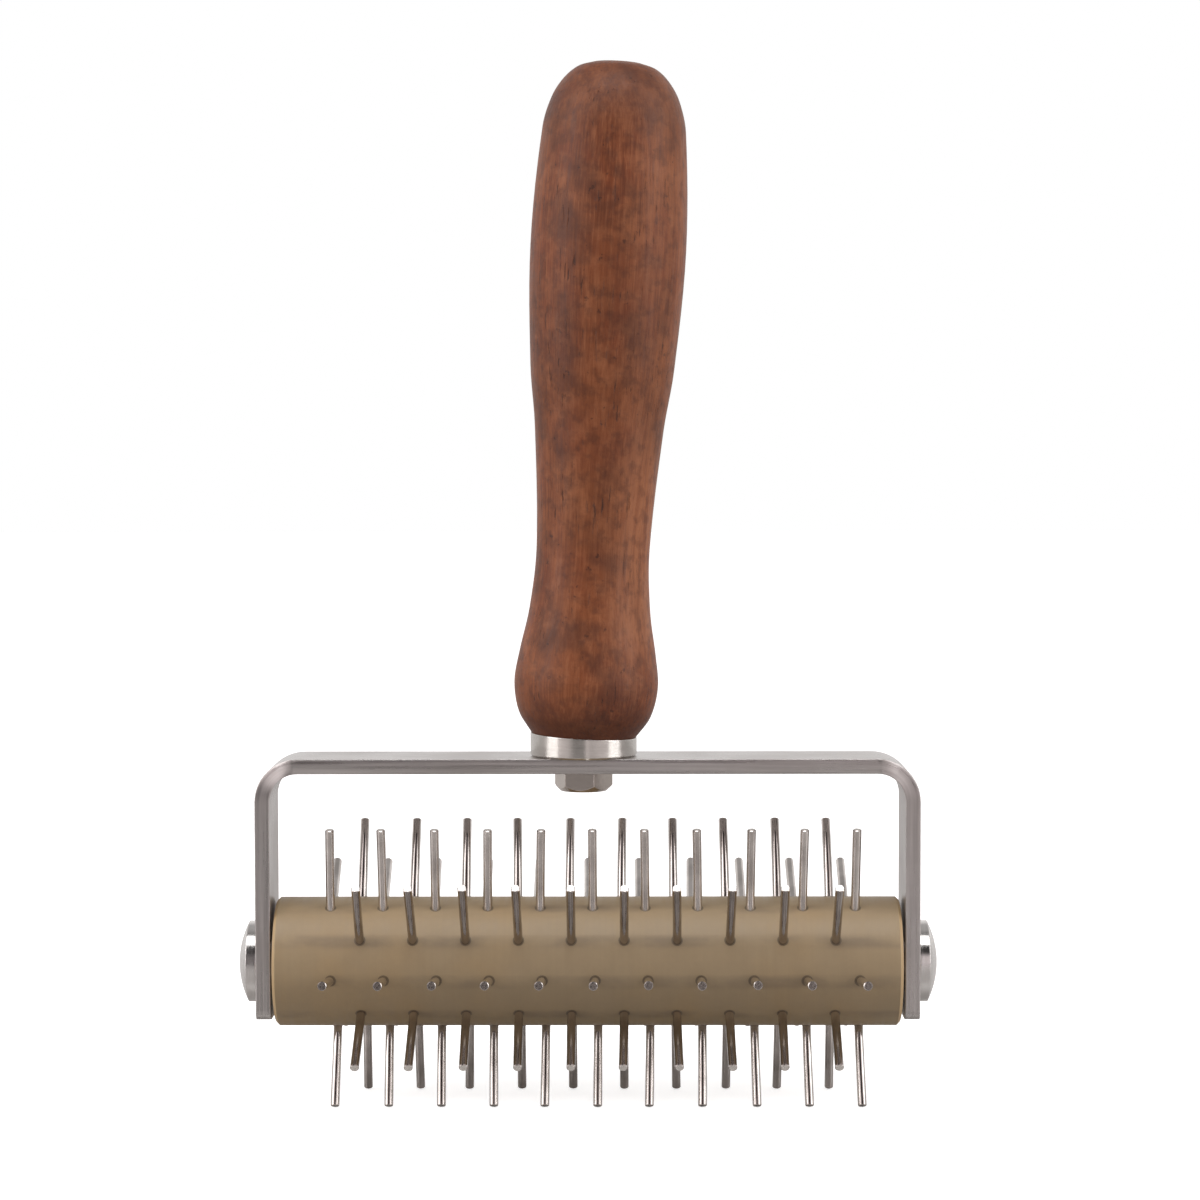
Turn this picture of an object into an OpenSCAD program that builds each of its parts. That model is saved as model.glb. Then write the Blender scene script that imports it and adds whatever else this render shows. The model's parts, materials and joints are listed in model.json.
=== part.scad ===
// Dough docker: a turned wooden handle on a bent steel strip, which carries
// a free-running roller with ten rows of steel pins.
// Sizes are in millimetres. +X runs along the roller and +Z up the handle.
// The origin is on the ground under the roller's middle.

/* [Roller] */
// Diameter of the roller
roller_d = 25.4; // [24:0.1:36]
// Length of the roller
roller_len = 123; // [116:0.5:160]
// Chamfer round each end of the roller
roller_chamfer = 0.6; // [0.2:0.1:1.5]
// End play between the roller and each arm
end_gap = 0.7; // [0.6:0.05:1.5]

/* [Pins] */
// Diameter of a pin
pin_d = 1.75; // [1:0.05:2.4]
// How far a pin stands out of the roller
pin_out = 16.2; // [8:0.1:18]
// How deep a pin is set in the roller
pin_set = 6.2; // [4:0.1:6.6]
// Distance by which a pin's line misses the roller's centre line
pin_miss = 3.3; // [2.8:0.1:4]
// Chamfer round the tip of a pin
pin_chamfer = 0.15; // [0.05:0.05:0.3]
// Spacing of the pins along a row
pin_pitch = 10.3; // [8:0.1:10.6]
// Pins in a long row, and a short row has one fewer
pins_long = 11; // [5:1:11]

/* [Axle] */
// Diameter of the axle
axle_d = 6; // [4:0.1:6.2]
// Diameter of a domed cap
cap_d = 16; // [12:0.5:20]
// Thickness of a cap's straight rim
cap_rim = 2; // [1.6:0.1:3]
// Height of a cap's dome over its rim
cap_dome = 1.95; // [1:0.05:3]
// How far the axle reaches into a cap
cap_grip = 2.4; // [1.5:0.1:2.4]
// Outer diameter of a washer
washer_d = 12; // [9:0.5:20]
// Thickness of a washer
washer_t = 0.5; // [0.3:0.05:0.55]

/* [Bracket] */
// Width of the steel strip
strip_w = 16; // [13:0.5:22]
// Thickness of the steel strip
strip_t = 2.9; // [2:0.1:4]
// Outer radius of the two bends
bend_r = 8.4; // [5:0.1:10]
// Height of the crossbar's top over the roller's centre line
bar_h = 40.9; // [37:0.1:55]
// How far the arms reach below the roller's centre line
arm_drop = 10.6; // [9:0.1:12]
// Corner radius at the foot of each arm
foot_corner = 2; // [0.5:0.1:4]

/* [Handle fixing] */
// Diameter of the screw that holds the handle
screw_d = 6; // [4:0.1:7]
// Length of the screw under its head
screw_len = 55; // [30:1:90]
// Width of the hexagon head across its flats
head_af = 10; // [8:0.5:13]
// Height of the hexagon head
head_h = 4; // [3:0.1:5]
// Diameter of the ferrule
ferrule_d = 21; // [15:0.5:24]
// Height of the ferrule on its centre line
ferrule_h = 4.1; // [3:0.1:8]
// Place of the handle's screw from the middle of the crossbar
stem_x = -0.8; // [-3:0.1:3]

/* [Handle] */
// Length of the handle
handle_len = 131.8; // [115:0.1:170]
// Angle by which the handle leans towards +X
handle_lean = 3; // [0:0.1:4]
// Diameter of the handle's foot
foot_d = 20.6; // [18:0.1:24]
// Diameter of the low bulb
bulb_d = 28.4; // [24:0.1:34]
// Height of the bulb's widest place
bulb_h = 10; // [7:0.1:14]
// Diameter of the waist
waist_d = 22.3; // [18:0.1:24]
// Height of the waist
waist_h = 37; // [30:0.1:45]
// Diameter of the grip
grip_d = 30.6; // [26:0.1:36]
// Height of the grip's widest place
grip_h = 96; // [70:0.1:98]
// Diameter of the flat at the handle's end
end_d = 10; // [6:0.1:16]

/* [Hidden] */
$fn = 96;

// Radial clearances, one for each kind of fit
run_fit = 0.08;
slip_fit = 0.1;
press_fit = 0.01;
pin_fit = 0.02;
// Wider mouth of each pin hole, and its depth
mouth_fit = 0.2;
mouth_depth = 0.6;
// What is left of a hole past the screw's tip
tip_room = 2;
// A little more length on a cutting tool, so that it leaves no skin
over = 1;
edge_chamfer = 0.4;

// Steel of the bright pins, satin steel, plastic and wood
pin_colour = [0.80, 0.81, 0.82];
steel_colour = [0.66, 0.66, 0.65];
plastic_colour = [0.60, 0.54, 0.40];
wood_colour = [0.46, 0.23, 0.12];

// Ten rows stand 36 degrees apart. Row 1 points at the user.
row_count = 10;
row_step = 360 / row_count;
// How far each row was drilled off the roller's middle, from row 1 to row 10
row_shift = [1.5, 2, 1, 1.5, 0, 1.5, 1.5, 2, 2, 2];

// A pin's length is counted along its line from the point nearest the roller's centre line
surface_s = sqrt(pow(roller_d / 2, 2) - pow(pin_miss, 2));
tip_s = surface_s + pin_out;
root_s = surface_s - pin_set;
rake = atan2(pin_miss, tip_s);
// Height of the roller's centre line when its lowest pins stand on the ground
function tip_line(k) = rake + row_step * k;
function tip_drop(k) =
    -(tip_s * sin(tip_line(k)) - pin_miss * cos(tip_line(k)))
    + (pin_d / 2 - pin_chamfer) * abs(cos(tip_line(k)));
axle_z = max([for (k = [0 : row_count - 1]) tip_drop(k)]);

inner_gap = roller_len + 2 * end_gap;
arm_x = inner_gap / 2;
outer_x = arm_x + strip_t;
bar_top = axle_z + bar_h;
bar_under = bar_top - strip_t;
foot_z = axle_z - arm_drop;
bend_inner_r = bend_r - strip_t;
stem_z = bar_top + ferrule_h;
screw_top = bar_under + screw_len;

// Outline of the handle from its foot to its end
function blend(a, b, t) = a + (b - a) * t;
foot_r = foot_d / 2;
bulb_r = bulb_d / 2;
waist_r = waist_d / 2;
grip_r = grip_d / 2;
end_r = end_d / 2;
function neck(t, share) = [blend(bulb_r, waist_r, share), blend(bulb_h, waist_h, t)];
function swell(t, share) = [blend(waist_r, grip_r, share), blend(waist_h, grip_h, t)];
function crown(depth, share) = [blend(grip_r, end_r, share), handle_len - depth];
knots = [
    [foot_r, 0],
    [blend(foot_r, bulb_r, 0.71), 0.42 * bulb_h],
    [bulb_r, bulb_h],
    neck(0.22, 0.23),
    neck(0.55, 0.75),
    [waist_r, waist_h],
    swell(0.4, 0.37),
    swell(0.6, 0.72),
    [grip_r, grip_h],
    crown(12.8, 0.12),
    crown(6.9, 0.27),
    crown(3.4, 0.47),
    crown(1, 0.72),
    [end_r, handle_len]
];
knot_steps = 6;
last_knot = len(knots) - 1;
// Direction of the curve at a knot, for each millimetre along it
function knot_lean(i) =
    let (a = knots[max(i - 1, 0)], b = knots[i], c = knots[min(i + 1, last_knot)])
    (c - a) / (norm(b - a) + norm(c - b));
function between(i, t) =
    let (a = knots[i], b = knots[i + 1], d = norm(b - a))
    a * (2 * pow(t, 3) - 3 * pow(t, 2) + 1)
    + b * (3 * pow(t, 2) - 2 * pow(t, 3))
    + knot_lean(i) * d * (pow(t, 3) - 2 * pow(t, 2) + t)
    + knot_lean(i + 1) * d * (pow(t, 3) - pow(t, 2));
handle_curve = [
    for (i = [0 : last_knot - 1]) for (s = [0 : knot_steps - 1]) between(i, s / knot_steps)
];

// A cylinder along X whose middle is at the roller's centre line
module along_x(r, length) {
    translate([-length / 2, 0, axle_z])
        rotate([0, 90, 0])
            cylinder(r = r, h = length);
}

// Stands its children on the crossbar's middle line, where the handle is fixed
module at_stem(z) {
    translate([stem_x, 0, z])
        children();
}

// Everything over the ferrule's sloped top, or under it when turned over
module at_lean() {
    at_stem(stem_z)
        rotate([0, handle_lean, 0])
            children();
}

module handle() {
    color(wood_colour)
        difference() {
            at_lean()
                rotate_extrude()
                    polygon(concat([[0, 0]], handle_curve, [[end_r, handle_len], [0, handle_len]]));
            at_stem(bar_top)
                cylinder(r = screw_d / 2 + slip_fit, h = screw_top - bar_top + tip_room);
        }
}

module ferrule() {
    blank_h = ferrule_h + ferrule_d;
    color(steel_colour)
        difference() {
            at_stem(bar_top)
                rotate_extrude()
                    polygon([
                        [screw_d / 2 + slip_fit, 0],
                        [ferrule_d / 2 - edge_chamfer, 0],
                        [ferrule_d / 2, edge_chamfer],
                        [ferrule_d / 2, blank_h],
                        [screw_d / 2 + slip_fit, blank_h]
                    ]);
            at_lean()
                translate([-ferrule_d, -ferrule_d, 0])
                    cube([2 * ferrule_d, 2 * ferrule_d, 2 * ferrule_d]);
        }
}

// Front view of one face of the strip, with its two rounded bends
module arch(half_width, top, r) {
    translate([-half_width, -over - arm_drop])
        square([2 * half_width, top - r + over + arm_drop]);
    translate([-half_width + r, top - r - over])
        square([2 * (half_width - r), r + over]);
    for (side = [-1, 1])
        translate([side * (half_width - r), top - r])
            circle(r = r);
}

// Cuts one corner at the foot of an arm to a radius
module corner_cut(side) {
    rotate([90, 0, 90])
        linear_extrude(height = 2 * (outer_x + over), center = true)
            difference() {
                translate([side * strip_w / 2, foot_z])
                    square(2 * foot_corner, center = true);
                translate([side * (strip_w / 2 - foot_corner), foot_z + foot_corner])
                    circle(r = foot_corner);
                translate([side * (strip_w / 2 - 2 * foot_corner) - foot_corner, foot_z - 2 * foot_corner])
                    square([2 * foot_corner, 6 * foot_corner]);
            }
}

module bracket() {
    color(steel_colour)
        difference() {
            translate([0, 0, axle_z])
                rotate([90, 0, 0])
                    linear_extrude(height = strip_w, center = true)
                        difference() {
                            arch(outer_x, bar_h, bend_r);
                            arch(arm_x, bar_h - strip_t, bend_inner_r);
                        }
            translate([-outer_x - over, -strip_w, foot_z - strip_w])
                cube([2 * (outer_x + over), 2 * strip_w, strip_w]);
            for (side = [-1, 1])
                corner_cut(side);
            along_x(axle_d / 2 + slip_fit, 2 * (outer_x + over));
            at_stem(bar_under - over)
                cylinder(r = screw_d / 2 + slip_fit, h = strip_t + 2 * over);
        }
}

// Hexagon head under the crossbar and a plain shank up into the handle
module handle_screw() {
    head_r = head_af / 2 / cos(30);
    color(steel_colour) {
        at_stem(bar_under - head_h)
            intersection() {
                rotate([0, 0, -9])
                    cylinder(r = head_r, h = head_h, $fn = 6);
                rotate_extrude()
                    polygon([
                        [0, 0],
                        [head_af / 2 - edge_chamfer, 0],
                        [head_r + over, head_r + over - head_af / 2 + edge_chamfer],
                        [head_r + over, head_h + over],
                        [0, head_h + over]
                    ]);
            }
        at_stem(bar_under)
            rotate_extrude()
                polygon([
                    [0, -over],
                    [screw_d / 2, -over],
                    [screw_d / 2, screw_len - 2 * edge_chamfer],
                    [screw_d / 2 - 2 * edge_chamfer, screw_len],
                    [0, screw_len]
                ]);
    }
}

module axle_rod() {
    color(steel_colour)
        along_x(axle_d / 2, 2 * (outer_x + cap_grip));
}

// Domed cap on one end of the axle, which turns outwards on the given side
module axle_cap(side) {
    dome_r = (pow(cap_d / 2, 2) + pow(cap_dome, 2)) / (2 * cap_dome);
    color(steel_colour)
        translate([side * outer_x, 0, axle_z])
            rotate([0, side * 90, 0])
                difference() {
                    union() {
                        cylinder(d = cap_d, h = cap_rim);
                        intersection() {
                            translate([0, 0, cap_rim + cap_dome - dome_r])
                                sphere(r = dome_r);
                            translate([0, 0, cap_rim / 2])
                                cylinder(d = cap_d, h = cap_rim + cap_dome);
                        }
                    }
                    translate([0, 0, -over])
                        cylinder(r = axle_d / 2 + press_fit, h = cap_grip + over);
                }
}

// Thin washer against the inner face of one arm
module washer(side) {
    color(steel_colour)
        translate([side * (arm_x - washer_t / 2), 0, axle_z])
            rotate([0, 90, 0])
                difference() {
                    cylinder(d = washer_d, h = washer_t, center = true);
                    cylinder(r = axle_d / 2 + slip_fit, h = washer_t + 2 * over, center = true);
                }
}

// Places its children at every pin of row k, with +Z out along the pin's line
module each_pin(k) {
    pins = pins_long - k % 2;
    for (i = [0 : pins - 1])
        translate([row_shift[k] + (i - (pins - 1) / 2) * pin_pitch, 0, axle_z])
            rotate([90 - tip_line(k), 0, 0])
                translate([0, -pin_miss, 0])
                    children();
}

module pin_hole() {
    translate([0, 0, root_s])
        cylinder(r = pin_d / 2 + pin_fit, h = roller_d);
    translate([0, 0, surface_s - mouth_depth])
        cylinder(r = pin_d / 2 + mouth_fit, h = roller_d);
}

module roller_body() {
    half = roller_len / 2;
    roller_r = roller_d / 2;
    bore_r = axle_d / 2 + run_fit;
    color(plastic_colour)
        difference() {
            translate([0, 0, axle_z])
                rotate([0, 90, 0])
                    rotate_extrude()
                        polygon([
                            [bore_r, -half],
                            [roller_r - roller_chamfer, -half],
                            [roller_r, -half + roller_chamfer],
                            [roller_r, half - roller_chamfer],
                            [roller_r - roller_chamfer, half],
                            [bore_r, half]
                        ]);
            for (k = [0 : row_count - 1])
                each_pin(k)
                    pin_hole();
        }
}

// Row n of straight pins with flat, lightly chamfered tips
module pin_row(n) {
    pin_r = pin_d / 2;
    color(pin_colour)
        each_pin(n - 1)
            rotate_extrude($fn = 24)
                polygon([
                    [0, root_s],
                    [pin_r, root_s],
                    [pin_r, tip_s - pin_chamfer],
                    [pin_r - pin_chamfer, tip_s],
                    [0, tip_s]
                ]);
}

handle();
ferrule();
bracket();
handle_screw();
axle_rod();
axle_cap(-1);  // axle_cap_left
axle_cap(1);  // axle_cap_right
washer(-1);  // washer_left
washer(1);  // washer_right
roller_body();
for (n = [1 : row_count])
    pin_row(n);
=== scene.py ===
"""Dresses the dough docker: finishes for every solid, bent pins, soft studio light and a camera."""

import json
import math
import random

import bmesh
import bpy
from bpy.props import FloatProperty, FloatVectorProperty, IntProperty, PointerProperty
from mathutils import Matrix, Vector


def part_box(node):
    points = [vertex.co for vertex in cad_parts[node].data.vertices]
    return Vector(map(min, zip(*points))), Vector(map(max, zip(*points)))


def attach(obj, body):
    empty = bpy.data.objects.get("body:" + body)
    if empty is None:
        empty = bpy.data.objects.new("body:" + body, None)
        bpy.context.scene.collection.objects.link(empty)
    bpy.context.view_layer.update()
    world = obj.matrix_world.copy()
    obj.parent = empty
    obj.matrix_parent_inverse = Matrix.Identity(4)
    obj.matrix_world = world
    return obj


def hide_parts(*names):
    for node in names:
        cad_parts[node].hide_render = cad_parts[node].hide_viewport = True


bl_info = {
    "name": "Dough Docker Finishes",
    "version": (1, 0, 0),
    "blender": (4, 5, 0),
    "location": "View3D > Sidebar > Docker",
    "description": "Finishes, pins, studio light and camera for a dough docker",
    "category": "Object",
}

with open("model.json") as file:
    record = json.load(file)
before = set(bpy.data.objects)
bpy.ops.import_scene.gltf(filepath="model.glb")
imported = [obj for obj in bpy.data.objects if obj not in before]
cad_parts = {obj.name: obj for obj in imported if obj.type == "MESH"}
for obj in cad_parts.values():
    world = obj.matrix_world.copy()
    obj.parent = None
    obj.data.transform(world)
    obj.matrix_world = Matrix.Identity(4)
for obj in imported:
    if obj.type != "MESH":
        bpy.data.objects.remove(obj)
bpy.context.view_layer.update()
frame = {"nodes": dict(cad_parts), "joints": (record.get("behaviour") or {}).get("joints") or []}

MM = 0.001
ROWS = 10
ROW_TURN = math.tau / ROWS
# How far each row was drilled off the roller's middle, in millimetres, from row 1 to row 10
ROW_SHIFT = (1.5, 2, 1, 1.5, 0, 1.5, 1.5, 2, 2, 2)
PINS_LONG = 11
# How far the tips of each row are bent round the roller, in millimetres
ROW_BEND = (0, 1.2, 0, 0, 0, 0, 0, 0, 0, 0)


def screen_colour(red, green, blue):
    """A colour given as 0 to 255 on screen, as the linear values that a shader takes."""
    linear = []
    for level in (red, green, blue):
        share = level / 255
        if share <= 0.04045:
            linear.append(share / 12.92)
        else:
            linear.append(((share + 0.055) / 1.055) ** 2.4)
    return tuple(linear)


def colour_prop(name, description, screen):
    """A colour property with its default given as it looks on screen."""
    return FloatVectorProperty(
        name=name,
        description=description,
        subtype="COLOR",
        size=3,
        min=0.0,
        max=1.0,
        default=screen_colour(*screen),
    )


def length_prop(name, description, millimetres):
    """A length property with its default given in millimetres."""
    return FloatProperty(
        name=name,
        description=description,
        subtype="DISTANCE",
        unit="LENGTH",
        precision=5,
        default=millimetres * MM,
    )


def power_prop(name, description, watts):
    """The power of a lamp."""
    return FloatProperty(name=name, description=description, unit="POWER", default=watts)


class DockerWood(bpy.types.PropertyGroup):
    """Finish of the turned handle."""

    main: colour_prop("Wood", "Main colour of the wood", (125, 69, 38))
    # Also the colour of the painted light on the handle's right side.
    light: colour_prop("Light wood", "Colour of the paler streaks", (160, 101, 66))
    red: colour_prop("Red wood", "Colour of the warmer figure", (115, 56, 29))
    # Also the colour of the painted shade at the handle's foot and crown.
    dark: colour_prop("Dark wood", "Colour of the stained patches", (73, 39, 26))
    pore: colour_prop("Pores", "Colour inside the open pores", (44, 24, 18))
    lean: FloatProperty(
        name="Lean",
        description="Angle of the handle from upright",
        subtype="ANGLE",
        default=math.radians(3),
    )
    foot_x: length_prop("Foot", "Place of the handle's foot along the crossbar", -0.8)


class DockerMetal(bpy.types.PropertyGroup):
    """Colours of the steel pieces, and the form of the bent strip."""

    strip: colour_prop("Strip", "Brushed steel of the bracket", (206, 201, 199))
    shade: colour_prop("Strip's shade", "Duller patches on the strip", (149, 139, 134))
    tarnish: colour_prop("Tarnish", "Duller patches on the turned steel", (156, 149, 142))
    bend: length_prop("Bend", "Outer radius of the strip's two bends", 8.4)
    thick: length_prop("Thickness", "Thickness of the strip", 2.9)
    swell: FloatProperty(
        name="Swell",
        description="Slope that bending leaves on the strip's narrow faces",
        default=0.42,
    )
    crown: FloatProperty(
        name="Crown",
        description="Slope of the crossbar's narrow faces at their edges",
        default=0.15,
    )
    ferrule: colour_prop("Ferrule", "Turned steel of the collar", (212, 208, 203))
    screw: colour_prop("Screw", "Dull plating of the screw, axle and washers", (198, 189, 182))
    cap: colour_prop("Caps", "Polished steel of the axle caps", (224, 221, 219))
    pin: colour_prop("Pins", "Bright drawn wire of the pins", (214, 208, 204))
    film: colour_prop("Film", "Cloudy film on the pins", (128, 119, 113))
    # Painted dark reflection on the parts of the pins that reach out to the front.
    dark_reflection: colour_prop("Oil", "Old dark oil on the pins of the front rows", (104, 94, 88))
    cut: colour_prop("Cut ends", "Cut faces at the pins' tips", (214, 210, 205))


class DockerRoller(bpy.types.PropertyGroup):
    """Finish of the roller."""

    main: colour_prop("Plastic", "Main colour of the roller", (152, 133, 104))
    warm: colour_prop("Warm plastic", "Colour of the warmer patches", (158, 133, 96))
    # Painted highlight along the thin edge at each end of the roller.
    rim: colour_prop("Rim", "Colour of the thin edge at each end", (188, 160, 118))
    dust: colour_prop("Dust", "Colour of the fine dark specks", (112, 97, 79))
    # The dark bands beside the pin rows: partly grease smears, partly painted shadow of the pins.
    smear_and_shadow: colour_prop("Smears", "Colour of the smears by the pins", (101, 89, 77))
    smear_and_shadow_turn: FloatProperty(
        name="Smear turn",
        description="How far the smears lie from the pins, in rows",
        default=0.28,
    )


class DockerPins(bpy.types.PropertyGroup):
    """Size and place of the pins, as the solids have them."""

    diameter: length_prop("Diameter", "Thickness of a pin", 1.75)
    roller: length_prop("Roller", "Diameter of the roller", 25.4)
    out: length_prop("Stand out", "How far a pin stands out of the roller", 16.15)
    sunk: length_prop("Set", "How deep a pin is set in the roller", 6.2)
    miss: length_prop("Miss", "Distance of a pin's line from the centre line", 3.3)
    pitch: length_prop("Pitch", "Spacing of the pins along a row", 10.3)
    chamfer: length_prop("Chamfer", "Chamfer round a pin's tip", 0.15)
    seat: length_prop("Seat", "Width of the plastic lip round a pin", 0.24)
    seat_lap: length_prop("Seat lap", "How far the lip laps under the pin's face", 0.05)
    seat_rise: length_prop("Seat rise", "Height of the lip over the roller", 0.01)
    seat_depth: length_prop("Seat depth", "Depth of the lip in the pin's hole", 0.5)
    bend: length_prop("Bend", "Most that a tip is bent aside along the row", 0.28)
    seed: IntProperty(name="Seed", description="Picks the bends", default=7)


class DockerStage(bpy.types.PropertyGroup):
    """Light, floor and camera."""

    top: power_prop("Top", "Power of the softbox overhead", 6.2)
    left: power_prop("Left", "Power of the softbox on the left", 4.7)
    right: power_prop("Right", "Power of the softbox on the right", 5.0)
    room: FloatProperty(name="Room", description="Strength of the room's light", default=0.75)
    floor: colour_prop("Floor", "Colour of the floor", (235, 235, 235))
    bounce: colour_prop("Bounce", "Colour of the floor in the light that it gives back", (182, 180, 178))
    overhead: colour_prop("Overhead", "Grey of the room behind and overhead", (206, 204, 203))
    lens: FloatProperty(name="Lens", description="Focal length in millimetres", default=93.26)
    spot: FloatVectorProperty(
        name="Camera",
        description="Place of the camera",
        subtype="TRANSLATION",
        unit="LENGTH",
        size=3,
        default=(6.6 * MM, -612.3 * MM, 129.8 * MM),
    )
    turn: FloatVectorProperty(
        name="Camera's turn",
        description="Turn of the camera, a little down from level",
        subtype="EULER",
        size=3,
        default=(math.radians(87.137), math.radians(0.092), math.radians(0.381)),
    )


def place(tree, kind, inputs=None, **settings):
    """Adds a shader node, with its settings and with links or values on its inputs."""
    node = tree.nodes.new(kind)
    for name, value in settings.items():
        setattr(node, name, value)
    for name, value in (inputs or {}).items():
        socket = node.inputs[name]
        if isinstance(value, bpy.types.NodeSocket):
            tree.links.new(value, socket)
        else:
            socket.default_value = value
    return node


def math_node(tree, operation, a, b=0.0, clamp=False):
    """The result of a Math node."""
    return place(tree, "ShaderNodeMath", {0: a, 1: b}, operation=operation, use_clamp=clamp).outputs[0]


def blend_colour(tree, share, a, b, blend_type="MIX"):
    """The colour that a Mix node gives."""
    inputs = {0: share, 6: a, 7: b}
    return place(tree, "ShaderNodeMix", inputs, data_type="RGBA", blend_type=blend_type).outputs[2]


def remap(tree, value, low, high, to_low=0.0, to_high=1.0, smooth=True):
    """A value taken from one range to another and held at its ends."""
    inputs = {"Value": value, "From Min": low, "From Max": high, "To Min": to_low, "To Max": to_high}
    kind = "SMOOTHSTEP" if smooth else "LINEAR"
    node = place(tree, "ShaderNodeMapRange", inputs, interpolation_type=kind)
    return node.outputs["Result"]


def rgba(colour):
    """A colour property with full alpha."""
    return (colour[0], colour[1], colour[2], 1.0)


def group_tree(name, inputs, outputs):
    """An empty shader node group with named sockets: its tree, its inputs' node and its outputs' node."""
    tree = bpy.data.node_groups.new(name, "ShaderNodeTree")
    for socket_name, socket_type in inputs:
        tree.interface.new_socket(name=socket_name, in_out="INPUT", socket_type=socket_type)
    for socket_name, socket_type in outputs:
        tree.interface.new_socket(name=socket_name, in_out="OUTPUT", socket_type=socket_type)
    return tree, tree.nodes.new("NodeGroupInput"), tree.nodes.new("NodeGroupOutput")


def streaks_group():
    """Fine lines along one axis: a noise drawn out by the Stretch vector."""
    name = "Fine Streaks"
    if name in bpy.data.node_groups:
        return bpy.data.node_groups[name]
    tree, source, result = group_tree(
        name,
        [("Vector", "NodeSocketVector"), ("Stretch", "NodeSocketVector"), ("Scale", "NodeSocketFloat")],
        [("Fac", "NodeSocketFloat")],
    )
    drawn = place(
        tree,
        "ShaderNodeVectorMath",
        {0: source.outputs["Vector"], 1: source.outputs["Stretch"]},
        operation="MULTIPLY",
    )
    noise = place(
        tree,
        "ShaderNodeTexNoise",
        {"Vector": drawn.outputs[0], "Scale": source.outputs["Scale"], "Detail": 3.0, "Roughness": 0.6},
    )
    tree.links.new(noise.outputs["Fac"], result.inputs["Fac"])
    return tree


def patches_group():
    """Soft patches: a noise that rises from 0 to 1 between Low and High."""
    name = "Soft Patches"
    if name in bpy.data.node_groups:
        return bpy.data.node_groups[name]
    tree, source, result = group_tree(
        name,
        [
            ("Vector", "NodeSocketVector"),
            ("Scale", "NodeSocketFloat"),
            ("Low", "NodeSocketFloat"),
            ("High", "NodeSocketFloat"),
        ],
        [("Fac", "NodeSocketFloat")],
    )
    noise = place(
        tree,
        "ShaderNodeTexNoise",
        {
            "Vector": source.outputs["Vector"],
            "Scale": source.outputs["Scale"],
            "Detail": 4.0,
            "Roughness": 0.55,
        },
    )
    share = remap(tree, noise.outputs["Fac"], source.outputs["Low"], source.outputs["High"])
    tree.links.new(share, result.inputs["Fac"])
    return tree


def place_group(tree, group, inputs):
    """Places a shader node group, fills its inputs and gives its mask."""
    node = place(tree, "ShaderNodeGroup", node_tree=group)
    for name, value in inputs.items():
        if isinstance(value, bpy.types.NodeSocket):
            tree.links.new(value, node.inputs[name])
        else:
            node.inputs[name].default_value = value
    return node.outputs["Fac"]


def streaks(tree, vector, stretch, scale):
    """Places the streaks group and gives its mask."""
    return place_group(tree, streaks_group(), {"Vector": vector, "Stretch": stretch, "Scale": scale})


def patches(tree, vector, scale, low, high):
    """Places the patches group and gives its mask."""
    return place_group(tree, patches_group(), {"Vector": vector, "Scale": scale, "Low": low, "High": high})


def start_material(name):
    """A new material: its tree, its shader node and the object's coordinates."""
    material = bpy.data.materials.new(name)
    material.use_nodes = True
    tree = material.node_tree
    shader = tree.nodes["Principled BSDF"]
    coordinates = tree.nodes.new("ShaderNodeTexCoord").outputs["Object"]
    return material, tree, shader, coordinates


def bump(tree, shader, height, distance, strength=1.0, edge=0.0, form=None):
    """Feeds a height to the shader as bump, over a rounded edge in millimetres and a form in metres."""
    inputs = {"Height": height, "Distance": distance * MM, "Strength": strength}
    if edge:
        bevel = place(tree, "ShaderNodeBevel", {"Radius": edge * MM}, samples=6)
        inputs["Normal"] = bevel.outputs["Normal"]
    if form:
        swell = place(tree, "ShaderNodeBump", {"Height": form, "Distance": 1.0, "Normal": inputs["Normal"]})
        inputs["Normal"] = swell.outputs["Normal"]
    node = place(tree, "ShaderNodeBump", inputs)
    tree.links.new(node.outputs["Normal"], shader.inputs["Normal"])


def dress(material, *nodes):
    """Gives one material to the whole of each named solid."""
    for name in nodes:
        solid = frame["nodes"][name]
        for index in range(len(solid.material_slots)):
            solid.material_slots[index].material = material


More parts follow.
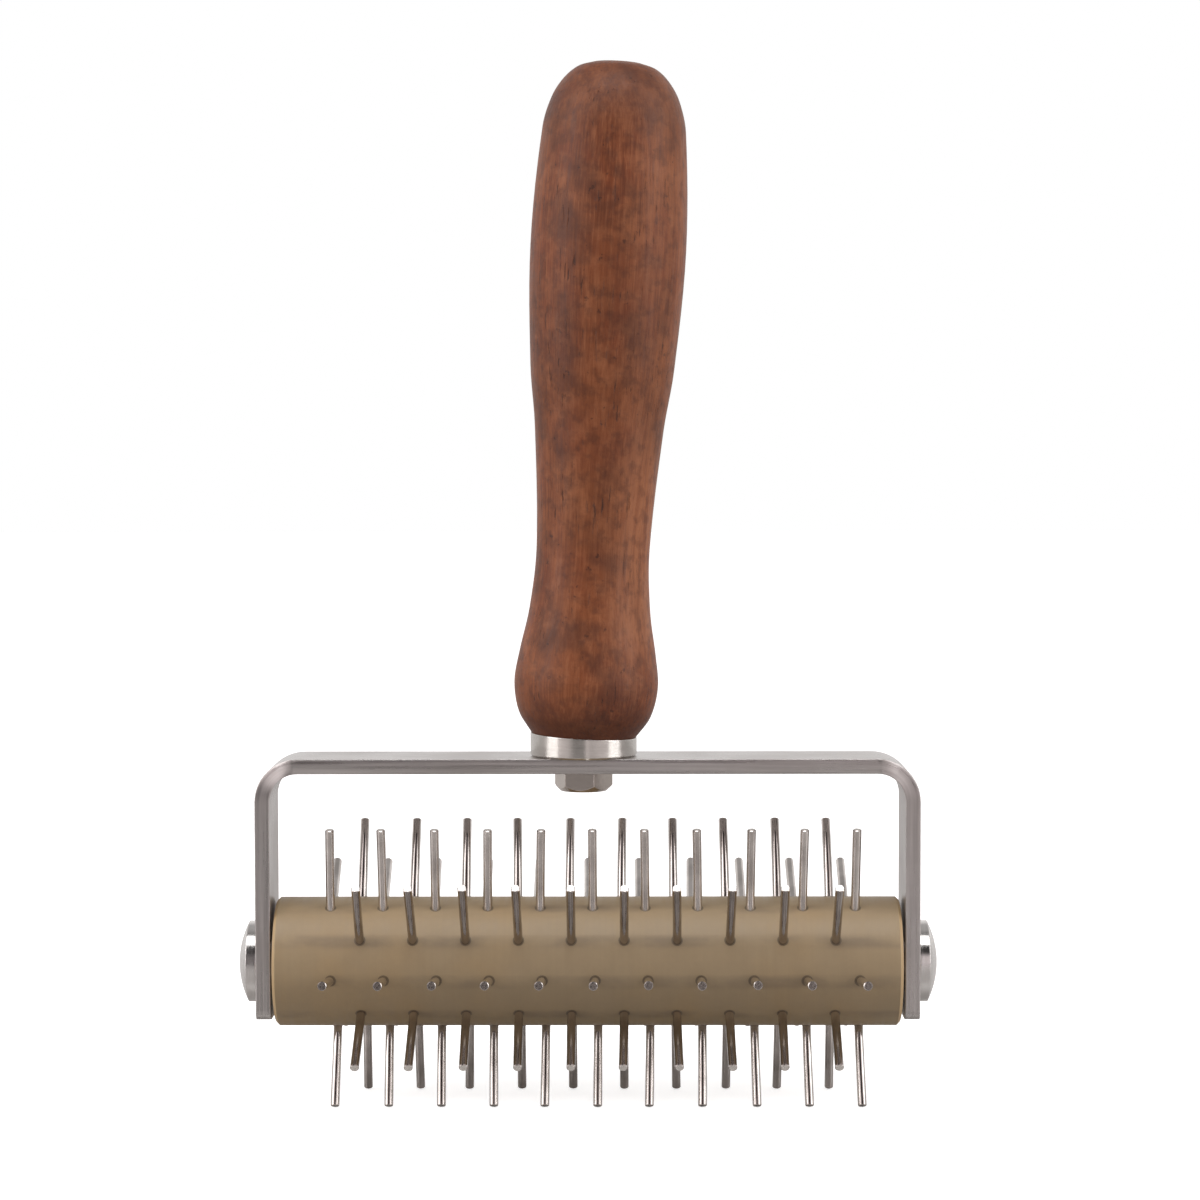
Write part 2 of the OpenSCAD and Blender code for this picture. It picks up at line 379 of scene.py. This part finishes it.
def wood_material(look):
    """Stained and varnished wood with pores, soft blotches, a paler right side that is partly rubbed wear
    and partly painted light, and painted shade at the foot and crown.
    """
    material, tree, shader, coordinates = start_material("Turned wood")
    low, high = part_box("handle")
    local = place(
        tree,
        "ShaderNodeMapping",
        {"Vector": coordinates, "Location": (look.foot_x, 0.0, low[2]), "Rotation": (0.0, look.lean, 0.0)},
        vector_type="TEXTURE",
    ).outputs[0]
    split = place(tree, "ShaderNodeSeparateXYZ", {0: local})
    height = split.outputs["Z"]
    length = high[2] - low[2]
    grain = streaks(tree, local, (1.0, 1.0, 0.035), 2300.0)
    fibre = streaks(tree, local, (1.0, 1.0, 0.06), 900.0)
    figure = streaks(tree, local, (1.0, 1.0, 0.22), 150.0)
    lively = patches(tree, local, 45.0, 0.38, 0.62)
    strength = remap(tree, lively, 0.0, 1.0, 0.35, 0.95, smooth=False)
    warm = patches(tree, local, 60.0, 0.40, 0.62)
    colour = blend_colour(tree, math_node(tree, "MULTIPLY", warm, 0.75), rgba(look.main), rgba(look.red))
    pale = math_node(tree, "MULTIPLY", remap(tree, grain, 0.46, 0.70), strength)
    colour = blend_colour(tree, math_node(tree, "MULTIPLY", pale, 0.5), colour, rgba(look.light))
    deep = math_node(tree, "MULTIPLY", remap(tree, grain, 0.52, 0.32), strength)
    colour = blend_colour(tree, math_node(tree, "MULTIPLY", deep, 0.38), colour, rgba(look.dark))
    colour = blend_colour(tree, remap(tree, fibre, 0.45, 0.75, 0.0, 0.4), colour, rgba(look.light))
    colour = blend_colour(tree, remap(tree, figure, 0.42, 0.70, 0.0, 0.3), colour, rgba(look.dark))
    bloom = patches(tree, local, 240.0, 0.44, 0.72)
    colour = blend_colour(tree, math_node(tree, "MULTIPLY", bloom, 0.42), colour, rgba(look.light))
    mottle = patches(tree, local, 420.0, 0.44, 0.70)
    colour = blend_colour(tree, math_node(tree, "MULTIPLY", mottle, 0.48), colour, rgba(look.dark))
    stain = patches(tree, local, 95.0, 0.48, 0.70)
    colour = blend_colour(tree, math_node(tree, "MULTIPLY", stain, 0.58), colour, rgba(look.dark))
    spots = patches(tree, local, 520.0, 0.655, 0.72)
    colour = blend_colour(tree, math_node(tree, "MULTIPLY", spots, 0.6), colour, rgba(look.pore))
    open_pores = remap(tree, streaks(tree, local, (1.0, 1.0, 0.075), 1900.0), 0.625, 0.68)
    pores = math_node(tree, "MULTIPLY", open_pores, patches(tree, local, 75.0, 0.46, 0.58))
    colour = blend_colour(tree, math_node(tree, "MULTIPLY", pores, 0.7), colour, rgba(look.pore))
    # Paler patch on the handle's right side: partly rubbed wear, partly painted light from the right.
    rubbed_and_lit_side = remap(tree, split.outputs["X"], 1.5 * MM, 9 * MM)
    rubbed_and_lit_side = math_node(tree, "MULTIPLY", rubbed_and_lit_side, remap(tree, height, 14 * MM, 24 * MM))
    rubbed_and_lit_side = math_node(tree, "MULTIPLY", rubbed_and_lit_side, remap(tree, height, 48 * MM, 70 * MM, 1.0, 0.25))
    rubbed_and_lit_side = math_node(tree, "MULTIPLY", rubbed_and_lit_side, remap(tree, fibre, 0.34, 0.6, 0.35, 1.0))
    rubbed_and_lit_side = math_node(tree, "MULTIPLY", rubbed_and_lit_side, remap(tree, mottle, 0.0, 1.0, 1.0, 0.55))
    colour = blend_colour(tree, math_node(tree, "MULTIPLY", rubbed_and_lit_side, 0.82), colour, rgba(look.light))
    held = remap(tree, height, 48 * MM, 62 * MM)
    held = math_node(tree, "MULTIPLY", held, remap(tree, height, 84 * MM, 108 * MM, 1.0, 0.0))
    held = math_node(tree, "MULTIPLY", held, remap(tree, lively, 0.2, 1.0, 0.35, 1.0))
    colour = blend_colour(tree, math_node(tree, "MULTIPLY", held, 0.2), colour, rgba(look.dark))
    # Painted shade: darker at the foot, next to the ferrule, and towards the crown.
    foot = remap(tree, height, 1.5 * MM, 9 * MM, 1.0, 0.0)
    crown = remap(tree, height, length - 24 * MM, length - 4 * MM)
    shade = math_node(tree, "MAXIMUM", foot, math_node(tree, "MULTIPLY", crown, 0.6))
    colour = blend_colour(tree, math_node(tree, "MULTIPLY", shade, 0.7), colour, rgba(look.dark))
    tree.links.new(colour, shader.inputs["Base Color"])
    rough = remap(tree, grain, 0.3, 0.7, 0.42, 0.57)
    tree.links.new(rough, shader.inputs["Roughness"])
    shader.inputs["Specular IOR Level"].default_value = 0.3
    relief = math_node(tree, "SUBTRACT", math_node(tree, "MULTIPLY", grain, 0.4), pores)
    bump(tree, shader, relief, 0.14, 0.8)
    return material


def along_strip(tree, coordinates, look):
    """Where a point lies on the strip: along it, across it, and its distance from a bend's centre."""
    low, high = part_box("bracket")
    split = place(tree, "ShaderNodeSeparateXYZ", {0: coordinates})
    off_middle = math_node(tree, "ABSOLUTE", split.outputs["X"])
    bar_end = high[0] - look.bend
    arm_top = high[2] - look.bend
    out = math_node(tree, "MAXIMUM", math_node(tree, "SUBTRACT", off_middle, bar_end), 0.0)
    up = math_node(tree, "MAXIMUM", math_node(tree, "SUBTRACT", split.outputs["Z"], arm_top), 0.0)
    squares = math_node(tree, "ADD", math_node(tree, "POWER", out, 2.0), math_node(tree, "POWER", up, 2.0))
    radius = math_node(tree, "SQRT", squares)
    on_bar = math_node(tree, "MINIMUM", off_middle, bar_end)
    on_bend = math_node(tree, "MULTIPLY", math_node(tree, "ARCTAN2", out, up), look.bend)
    on_arm = math_node(tree, "MAXIMUM", math_node(tree, "SUBTRACT", arm_top, split.outputs["Z"]), 0.0)
    length = math_node(tree, "ADD", math_node(tree, "ADD", on_bar, on_bend), on_arm)
    length = math_node(tree, "MULTIPLY", length, math_node(tree, "SIGN", split.outputs["X"]))
    strip = place(tree, "ShaderNodeCombineXYZ", {0: length, 1: split.outputs["Y"], 2: radius}).outputs[0]
    return strip, radius, out, up


def bent_form(tree, radius, out, up, look):
    """Height of the strip's narrow faces, which lean in the bends and are crowned along the crossbar."""
    inner = look.bend - look.thick
    into_bend = remap(tree, math_node(tree, "DIVIDE", out, radius), 0.1, 0.6)
    out_of_bend = remap(tree, math_node(tree, "DIVIDE", up, radius), 0.0, 0.8)
    in_bend = math_node(tree, "MULTIPLY", into_bend, out_of_bend)
    depth = math_node(tree, "SUBTRACT", radius, inner)
    lean = math_node(tree, "MULTIPLY", math_node(tree, "MULTIPLY", depth, -look.swell), in_bend)
    from_middle = math_node(tree, "SUBTRACT", radius, inner + look.thick / 2)
    arch = math_node(tree, "POWER", from_middle, 2.0)
    arch = math_node(tree, "MULTIPLY", arch, -look.crown / look.thick)
    on_bar = remap(tree, out, 0.0, 1 * MM, 1.0, 0.0)
    arch = math_node(tree, "MULTIPLY", arch, on_bar)
    normal = tree.nodes.new("ShaderNodeNewGeometry").outputs["True Normal"]
    facing = place(tree, "ShaderNodeSeparateXYZ", {0: normal})
    narrow = remap(tree, math_node(tree, "ABSOLUTE", facing.outputs["Y"]), 0.6, 0.9)
    return math_node(tree, "MULTIPLY", math_node(tree, "ADD", lean, arch), narrow)


def strip_material(look):
    """Steel brushed along the strip: across the top, round the bends and down the arms."""
    material, tree, shader, coordinates = start_material("Brushed strip")
    strip, radius, out, up = along_strip(tree, coordinates, look)
    lines = streaks(tree, strip, (0.02, 1.0, 1.0), 1400.0)
    cloud = patches(tree, coordinates, 60.0, 0.35, 0.7)
    tone = remap(tree, lines, 0.25, 0.75, 0.62, 1.0, smooth=False)
    colour = blend_colour(tree, 1.0, rgba(look.strip), tone, "MULTIPLY")
    colour = blend_colour(tree, math_node(tree, "MULTIPLY", cloud, 0.22), colour, rgba(look.shade))
    tree.links.new(colour, shader.inputs["Base Color"])
    rough = remap(tree, lines, 0.3, 0.7, 0.22, 0.34)
    rough = math_node(tree, "ADD", rough, math_node(tree, "MULTIPLY", cloud, 0.08))
    tree.links.new(rough, shader.inputs["Roughness"])
    shader.inputs["Metallic"].default_value = 1.0
    bump(tree, shader, lines, 0.02, 0.5, edge=0.35, form=bent_form(tree, radius, out, up, look))
    return material


def turned_metal(look, name, colour, roughness, stretch, scale, edge, spread=0.1, depth=0.01):
    """Metal with fine turning lines, slight tarnish and a soft edge."""
    material, tree, shader, coordinates = start_material(name)
    lines = streaks(tree, coordinates, stretch, scale)
    cloud = patches(tree, coordinates, 140.0, 0.4, 0.72)
    tone = remap(tree, lines, 0.25, 0.75, 1.0 - 2 * spread, 1.0, smooth=False)
    base = blend_colour(tree, 1.0, rgba(colour), tone, "MULTIPLY")
    base = blend_colour(tree, math_node(tree, "MULTIPLY", cloud, 0.18), base, rgba(look.tarnish))
    tree.links.new(base, shader.inputs["Base Color"])
    rough = remap(tree, lines, 0.3, 0.7, roughness, roughness + spread)
    tree.links.new(rough, shader.inputs["Roughness"])
    shader.inputs["Metallic"].default_value = 1.0
    bump(tree, shader, lines, depth, 0.5, edge=edge)
    return material


def plastic_material(look, name="Roller plastic", shade=1.0):
    """Matte plastic with turning marks, dark bands by the pin rows that are partly grease smears and partly
    painted pin shadow, and a painted highlight along the thin edge at both ends.
    """
    material, tree, shader, coordinates = start_material(name)
    low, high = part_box("roller_body")
    split = place(tree, "ShaderNodeSeparateXYZ", {0: coordinates})
    off_middle = math_node(tree, "ABSOLUTE", split.outputs["X"])
    # Painted highlight along the thin edge at each end.
    rim = remap(tree, off_middle, high[0] - 0.7 * MM, high[0] - 0.45 * MM)
    turning = streaks(tree, coordinates, (1.0, 0.03, 0.03), 1100.0)
    warm = patches(tree, coordinates, 45.0, 0.4, 0.7)
    fine = patches(tree, coordinates, 900.0, 0.3, 0.75)
    colour = blend_colour(tree, math_node(tree, "MULTIPLY", warm, 0.6), rgba(look.main), rgba(look.warm))
    # A shade below 1 darkens the whole plastic, used for the painted shade round the pins' roots.
    tone = remap(tree, turning, 0.3, 0.7, 0.97 * shade, 1.02 * shade, smooth=False)
    colour = blend_colour(tree, 1.0, colour, tone, "MULTIPLY")
    colour = blend_colour(tree, math_node(tree, "MULTIPLY", fine, 0.06), colour, rgba(look.dust))
    # Dark bands beside every pin row: partly grease smears, partly painted shadow of the pins.
    axle_z = frame["joints"][0]["pos_m"][2]
    height = math_node(tree, "SUBTRACT", split.outputs["Z"], axle_z)
    towards = math_node(tree, "MULTIPLY", split.outputs["Y"], -1.0)
    turn = math_node(tree, "ARCTAN2", height, towards)
    rows = math_node(tree, "DIVIDE", turn, ROW_TURN)
    place_in_row = math_node(tree, "FRACT", math_node(tree, "ADD", rows, ROWS + 0.5 + look.smear_and_shadow_turn))
    from_row = math_node(tree, "ABSOLUTE", math_node(tree, "SUBTRACT", place_in_row, 0.5))
    near_row = remap(tree, from_row, 0.05, 0.24, 1.0, 0.0)
    drawn = place(tree, "ShaderNodeMapping", {"Vector": coordinates, "Scale": (0.5, 1.0, 1.0)}).outputs[0]
    smear_and_shadows = patches(tree, drawn, 120.0, 0.4, 0.65)
    grime_and_pin_shadow = math_node(tree, "MULTIPLY", near_row, smear_and_shadows)
    colour = blend_colour(tree, math_node(tree, "MULTIPLY", grime_and_pin_shadow, 0.42), colour, rgba(look.smear_and_shadow))
    colour = blend_colour(tree, math_node(tree, "MULTIPLY", rim, 0.8), colour, rgba(look.rim))
    tree.links.new(colour, shader.inputs["Base Color"])
    tree.links.new(remap(tree, turning, 0.3, 0.7, 0.42, 0.54), shader.inputs["Roughness"])
    bump(tree, shader, turning, 0.012, 0.5, edge=0.15)
    return material


def pin_material(look):
    """Bright wire with faint drawing marks, a cloudy film and a painted dark reflection on the parts that
    reach out to the front.
    """
    material, tree, shader, coordinates = start_material("Pin wire")
    marks = patches(tree, coordinates, 700.0, 0.35, 0.7)
    film = patches(tree, coordinates, 160.0, 0.35, 0.7)
    base = blend_colour(tree, math_node(tree, "MULTIPLY", film, 0.4), rgba(look.pin), rgba(look.film))
    # Darker towards the front: painted dark reflection.
    front = place(tree, "ShaderNodeSeparateXYZ", {0: coordinates}).outputs["Y"]
    dark_reflection_share = remap(tree, front, -10 * MM, -13 * MM, 0.0, 0.36)
    base = blend_colour(tree, dark_reflection_share, base, rgba(look.dark_reflection))
    tree.links.new(base, shader.inputs["Base Color"])
    rough = math_node(tree, "ADD", math_node(tree, "MULTIPLY", marks, 0.05), 0.06)
    tree.links.new(rough, shader.inputs["Roughness"])
    shader.inputs["Metallic"].default_value = 1.0
    bump(tree, shader, marks, 0.004, 0.4)
    return material


def cut_end_material(look):
    """The dull, bright face that the cutter leaves on a pin's end, with a painted dark reflection on the
    tips that point to the front.
    """
    material, tree, shader, coordinates = start_material("Cut wire end")
    marks = patches(tree, coordinates, 2600.0, 0.35, 0.7)
    base = blend_colour(tree, math_node(tree, "MULTIPLY", marks, 0.35), rgba(look.cut), rgba(look.pin))
    front = place(tree, "ShaderNodeSeparateXYZ", {0: coordinates}).outputs["Y"]
    # Tips that point to the front take a painted dark reflection.
    base = blend_colour(tree, remap(tree, front, -25 * MM, -27 * MM, 0.0, 0.75), base, rgba(look.dark_reflection))
    tree.links.new(base, shader.inputs["Base Color"])
    tree.links.new(remap(tree, marks, 0.0, 1.0, 0.22, 0.36), shader.inputs["Roughness"])
    shader.inputs["Metallic"].default_value = 1.0
    bump(tree, shader, marks, 0.03, 0.6)
    return material


def finish_piece(shape, name, material, body):
    """Makes an object of a bmesh, with its faces turned outwards, that rides on a body."""
    bmesh.ops.recalc_face_normals(shape, faces=shape.faces)
    mesh = bpy.data.meshes.new(name)
    shape.to_mesh(mesh)
    shape.free()
    mesh.materials.append(material)
    piece = bpy.data.objects.new(name, mesh)
    bpy.context.scene.collection.objects.link(piece)
    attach(piece, body)
    return piece


def add_pin(shape, pins, to_row, aside, around):
    """Adds one pin: a ring drawn out along +Z, bent aside past the roller, with a chamfered tip."""
    radius = pins.diameter / 2
    surface = math.sqrt((pins.roller / 2) ** 2 - pins.miss**2)
    root = surface - pins.sunk
    tip = surface + pins.out
    steps = 7
    sides = 16
    ring = bmesh.ops.create_circle(shape, cap_ends=True, segments=sides, radius=radius)["verts"]
    bmesh.ops.translate(shape, verts=ring, vec=(0.0, -pins.miss, root))
    every = list(ring)
    face = next(iter(f for f in ring[0].link_faces if all(v in ring for v in f.verts)))
    heights = [surface + (tip - pins.chamfer - surface) * i / steps for i in range(steps + 1)]
    last_bend = Vector((0.0, 0.0))
    last_height = root
    for level in heights + [tip]:
        grown = bmesh.ops.extrude_discrete_faces(shape, faces=[face])
        face = grown["faces"][0]
        share = max(level - surface, 0.0) / (tip - surface)
        bend = Vector((aside, around)) * share**1.4
        shift = (bend.x - last_bend.x, bend.y - last_bend.y, level - last_height)
        bmesh.ops.translate(shape, verts=face.verts, vec=shift)
        every.extend(face.verts)
        last_bend = bend
        last_height = level
    middle = face.calc_center_median()
    narrow = 1 - pins.chamfer / radius
    bmesh.ops.scale(shape, verts=face.verts, vec=(narrow, narrow, narrow), space=Matrix.Translation(-middle))
    bmesh.ops.transform(shape, matrix=to_row, verts=list(set(every)))


def add_seat(shape, pins, to_row):
    """Adds the lip of plastic round one pin, flush with the roller's curved face."""
    inner = pins.diameter / 2 - pins.seat_lap
    outer = pins.diameter / 2 + pins.seat
    ring = bmesh.ops.create_circle(shape, cap_ends=False, segments=20, radius=outer)["verts"]
    rim = {edge for vert in ring for edge in vert.link_edges}
    grown = bmesh.ops.extrude_edge_only(shape, edges=list(rim))["geom"]
    hole = [item for item in grown if isinstance(item, bmesh.types.BMVert)]
    faces = [item for item in grown if isinstance(item, bmesh.types.BMFace)]
    bmesh.ops.scale(shape, verts=hole, vec=(inner / outer, inner / outer, 1.0))
    for vert in ring + hole:
        vert.co.y -= pins.miss
        vert.co.z = math.sqrt((pins.roller / 2) ** 2 - vert.co.y**2) + pins.seat_rise
    sunk = bmesh.ops.extrude_face_region(shape, geom=faces, use_keep_orig=True)["geom"]
    base = [item for item in sunk if isinstance(item, bmesh.types.BMVert)]
    bmesh.ops.translate(shape, verts=base, vec=(0.0, 0.0, -pins.seat_depth))
    bmesh.ops.transform(shape, matrix=to_row, verts=ring + hole + base)


def smooth_sides(shape):
    """Shades a pin's side smooth, and keeps its flat ends and chamfer crisp."""
    for face in shape.faces:
        face.smooth = len(face.verts) == 4
        face.material_index = 0 if face.smooth else 1
    for edge in shape.edges:
        if len(edge.link_faces) == 2 and edge.calc_face_angle() > math.radians(28):
            edge.smooth = False


class DOCKER_OT_handle(bpy.types.Operator):
    """Finish the turned wooden handle"""

    bl_idname = "docker.handle"
    bl_label = "Handle"

    def execute(self, context):
        dress(wood_material(context.scene.docker_wood), "handle")
        return {"FINISHED"}


class DOCKER_OT_bracket(bpy.types.Operator):
    """Finish the bent strip, the ferrule and the screw"""

    bl_idname = "docker.bracket"
    bl_label = "Bracket"

    def execute(self, context):
        look = context.scene.docker_metal
        dress(strip_material(look), "bracket")
        around = (0.05, 0.05, 1.0)
        collar = turned_metal(look, "Ferrule steel", look.ferrule, 0.16, around, 1500.0, 0.25, spread=0.05)
        dress(collar, "ferrule")
        even = (1.0, 1.0, 1.0)
        plated = turned_metal(look, "Plated steel", look.screw, 0.1, even, 500.0, 0.2, spread=0.04)
        dress(plated, "handle_screw")
        return {"FINISHED"}


class DOCKER_OT_axle(bpy.types.Operator):
    """Finish the axle, its domed caps and its washers"""

    bl_idname = "docker.axle"
    bl_label = "Axle"

    def execute(self, context):
        look = context.scene.docker_metal
        around = (1.0, 0.05, 0.05)
        polished = turned_metal(look, "Polished cap", look.cap, 0.16, around, 1500.0, 0.3, 0.06, 0.02)
        dress(polished, "axle_cap_left", "axle_cap_right")
        plain = turned_metal(look, "Plain axle steel", look.screw, 0.3, (1.0, 0.1, 0.1), 400.0, 0.2)
        dress(plain, "axle_rod", "washer_left", "washer_right")
        return {"FINISHED"}


class DOCKER_OT_roller(bpy.types.Operator):
    """Finish the roller"""

    bl_idname = "docker.roller"
    bl_label = "Roller"

    def execute(self, context):
        dress(plastic_material(context.scene.docker_roller), "roller_body")
        return {"FINISHED"}


class DOCKER_OT_pins(bpy.types.Operator):
    """Make the ten rows of slightly bent pins"""

    bl_idname = "docker.pins"
    bl_label = "Pins"

    def execute(self, context):
        pins = context.scene.docker_pins
        material = pin_material(context.scene.docker_metal)
        cut = cut_end_material(context.scene.docker_metal)
        axle = Vector(frame["joints"][0]["pos_m"])
        surface = math.sqrt((pins.roller / 2) ** 2 - pins.miss**2)
        rake = math.atan2(pins.miss, surface + pins.out)
        chance = random.Random(pins.seed)
        seats = bmesh.new()
        for row in range(ROWS):
            shape = bmesh.new()
            count = PINS_LONG - row % 2
            line = rake + row * ROW_TURN
            for index in range(count):
                along = ROW_SHIFT[row] * MM + (index - (count - 1) / 2) * pins.pitch
                foot = Matrix.Translation(axle + Vector((along, 0.0, 0.0)))
                to_row = foot @ Matrix.Rotation(math.pi / 2 - line, 4, "X")
                aside = chance.uniform(-1.0, 1.0) * pins.bend
                around = chance.uniform(-0.4, 0.1) * pins.bend + ROW_BEND[row] * MM
                add_pin(shape, pins, to_row, aside, around)
                add_seat(seats, pins, to_row)
            smooth_sides(shape)
            node = f"pin_row_{row + 1}"
            piece = finish_piece(shape, f"bent_{node}", material, "roller")
            piece.data.materials.append(cut)
            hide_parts(node)
        # Half as bright as the roller: painted shade round the pins' roots.
        root_shade_plastic = plastic_material(context.scene.docker_roller, "Painted root shade", shade=0.5)
        lips = finish_piece(seats, "pin_seats", root_shade_plastic, "roller")
        return {"FINISHED"}


# How bright the room in front is from left to right, at eye level and higher up
LEVEL_STOPS = (
    (-1.0, 0.8),
    (-0.78, 1.2),
    (-0.52, 0.9),
    (-0.36, 0.24),
    (-0.20, 0.17),
    (-0.10, 0.26),
    (0.045, 0.18),
    (0.085, 1.1),
    (0.14, 1.5),
    (0.26, 0.76),
    (0.45, 0.95),
    (0.75, 1.15),
    (1.0, 0.5),
)
HIGH_STOPS = (
    (-1.0, 1.0),
    (-0.85, 1.5),
    (-0.42, 1.5),
    (-0.28, 0.05),
    (0.24, 0.03),
    (0.36, 0.4),
    (0.48, 1.1),
    (0.62, 1.0),
    (0.74, 0.35),
    (1.0, 0.5),
)
BACK_STOPS = ((-1.0, 0.9), (-0.85, 1.15), (-0.6, 1.25), (0.6, 1.25), (0.8, 1.0), (1.0, 0.85))
# Green and blue against red, in front of the object and behind it
FRONT_TINT = (0.9, 0.9)
BACK_TINT = (0.985, 0.975)


def level_ramp(tree, share, stops, tint):
    """A tinted grey that follows stops of place, from -1 to 1, and brightness."""
    node = place(tree, "ShaderNodeValToRGB", {0: share})
    elements = node.color_ramp.elements
    while len(elements) < len(stops):
        elements.new(0.5)
    for element, (spot, bright) in zip(elements, stops):
        element.position = (spot + 1) / 2
        element.color = (bright, bright * tint[0], bright * tint[1], 1.0)
    return node.outputs["Color"]


def room_light(look):
    """A white room for the camera. Metal and paint see it grey and dark in front and white behind."""
    world = bpy.data.worlds.new("Studio room")
    bpy.context.scene.world = world
    world.use_nodes = True
    tree = world.node_tree
    tree.nodes.clear()
    direction = tree.nodes.new("ShaderNodeTexCoord").outputs["Generated"]
    split = place(tree, "ShaderNodeSeparateXYZ", {0: direction})
    side = remap(tree, split.outputs["X"], -1.0, 1.0, smooth=False)
    level = level_ramp(tree, side, LEVEL_STOPS, FRONT_TINT)
    high = level_ramp(tree, side, HIGH_STOPS, FRONT_TINT)
    high_up = remap(tree, split.outputs["Z"], 0.3, 0.55)
    front = blend_colour(tree, high_up, level, high)
    behind = remap(tree, split.outputs["Y"], -0.25, 0.35)
    back = level_ramp(tree, side, BACK_STOPS, BACK_TINT)
    back_high = remap(tree, split.outputs["Z"], 0.45, 0.8)
    back = blend_colour(tree, back_high, back, rgba(look.overhead))
    room = blend_colour(tree, behind, front, back)
    seen = tree.nodes.new("ShaderNodeLightPath").outputs["Is Camera Ray"]
    lit = place(tree, "ShaderNodeBackground", {"Color": room, "Strength": look.room})
    white = place(tree, "ShaderNodeBackground", {"Color": (1.0, 1.0, 1.0, 1.0), "Strength": 1.0})
    mixed = place(tree, "ShaderNodeMixShader", {0: seen, 1: lit.outputs[0], 2: white.outputs[0]})
    place(tree, "ShaderNodeOutputWorld", {"Surface": mixed.outputs[0]})


def softbox(name, spot, target, width, height, power):
    """A rectangular lamp that faces a point."""
    lamp = bpy.data.lights.new(name, "AREA")
    lamp.shape = "RECTANGLE"
    lamp.size = width
    lamp.size_y = height
    lamp.energy = power
    box = bpy.data.objects.new(name, lamp)
    box.location = spot
    box.rotation_euler = (Vector(target) - Vector(spot)).to_track_quat("-Z", "Y").to_euler()
    bpy.context.scene.collection.objects.link(box)


def add_floor(look):
    """A pale floor that shows white to the camera and keeps the object's shadow."""
    shape = bmesh.new()
    bmesh.ops.create_grid(shape, x_segments=1, y_segments=1, size=4.0)
    mesh = bpy.data.meshes.new("floor")
    shape.to_mesh(mesh)
    shape.free()
    floor = bpy.data.objects.new("floor", mesh)
    bpy.context.scene.collection.objects.link(floor)
    material = bpy.data.materials.new("Pale floor")
    material.use_nodes = True
    tree = material.node_tree
    tree.nodes.clear()
    path = tree.nodes.new("ShaderNodeLightPath")
    colour = blend_colour(tree, path.outputs["Is Camera Ray"], rgba(look.bounce), rgba(look.floor))
    paint = place(tree, "ShaderNodeBsdfDiffuse", {"Color": colour})
    shine = place(tree, "ShaderNodeBsdfAnisotropic", {"Color": (1.0, 1.0, 1.0, 1.0), "Roughness": 0.2})
    grazing = place(tree, "ShaderNodeFresnel", {"IOR": 1.5}).outputs[0]
    share = math_node(tree, "MULTIPLY", grazing, path.outputs["Is Glossy Ray"])
    face = place(tree, "ShaderNodeMixShader", {0: share, 1: paint.outputs[0], 2: shine.outputs[0]})
    glow = math_node(tree, "MULTIPLY", path.outputs["Is Camera Ray"], 0.68)
    light = place(tree, "ShaderNodeEmission", {"Color": (1.0, 1.0, 1.0, 1.0), "Strength": glow})
    both = place(tree, "ShaderNodeAddShader", {0: face.outputs[0], 1: light.outputs[0]})
    place(tree, "ShaderNodeOutputMaterial", {"Surface": both.outputs[0]})
    mesh.materials.append(material)


def add_camera(look):
    """The camera at the photograph's place, a little above the roller and looking slightly down."""
    data = bpy.data.cameras.new("camera")
    data.sensor_width = 36.0
    data.lens = look.lens
    data.clip_start = 0.01
    data.clip_end = 50.0
    camera = bpy.data.objects.new("camera", data)
    camera.location = look.spot
    camera.rotation_euler = look.turn
    bpy.context.scene.collection.objects.link(camera)
    bpy.context.scene.camera = camera


class DOCKER_OT_stage(bpy.types.Operator):
    """Set up the floor, the soft light and the camera"""

    bl_idname = "docker.stage"
    bl_label = "Stage"

    def execute(self, context):
        look = context.scene.docker_stage
        context.scene.view_settings.view_transform = "Standard"
        target = (0.0, 0.0, 0.09)
        softbox("overhead_softbox", (0.0, -0.43, 1.16), target, 0.9, 0.6, look.top)
        softbox("left_softbox", (-1.0, -0.35, 0.5), target, 0.6, 1.0, look.left)
        softbox("right_softbox", (1.0, -0.35, 0.5), target, 0.6, 1.0, look.right)
        room_light(look)
        add_floor(look)
        add_camera(look)
        return {"FINISHED"}


class DOCKER_PT_panel(bpy.types.Panel):
    """Lists the docker's operators and looks"""

    bl_idname = "DOCKER_PT_panel"
    bl_label = "Dough Docker"
    bl_space_type = "VIEW_3D"
    bl_region_type = "UI"
    bl_category = "Docker"

    def draw(self, context):
        for operator in OPERATORS:
            self.layout.operator(operator.bl_idname)
        for name in SETTINGS:
            box = self.layout.box()
            settings = getattr(context.scene, name)
            for prop in settings.bl_rna.properties:
                if not prop.is_readonly and prop.identifier != "name":
                    box.prop(settings, prop.identifier)


SETTINGS = {
    "docker_wood": DockerWood,
    "docker_metal": DockerMetal,
    "docker_roller": DockerRoller,
    "docker_pins": DockerPins,
    "docker_stage": DockerStage,
}
OPERATORS = (
    DOCKER_OT_stage,
    DOCKER_OT_handle,
    DOCKER_OT_bracket,
    DOCKER_OT_axle,
    DOCKER_OT_roller,
    DOCKER_OT_pins,
)


def register():
    """Adds the classes, and their settings on the scene."""
    for item in (*SETTINGS.values(), *OPERATORS, DOCKER_PT_panel):
        bpy.utils.register_class(item)
    for name, item in SETTINGS.items():
        setattr(bpy.types.Scene, name, PointerProperty(type=item))


def unregister():
    """Takes the settings and the classes away again."""
    for name in SETTINGS:
        delattr(bpy.types.Scene, name)
    for item in reversed((*SETTINGS.values(), *OPERATORS, DOCKER_PT_panel)):
        bpy.utils.unregister_class(item)


def main():
    """Runs every operator."""
    register()
    bpy.ops.docker.stage()
    bpy.ops.docker.handle()
    bpy.ops.docker.bracket()
    bpy.ops.docker.axle()
    bpy.ops.docker.roller()
    bpy.ops.docker.pins()
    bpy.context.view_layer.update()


if __name__ == "__main__":
    main()
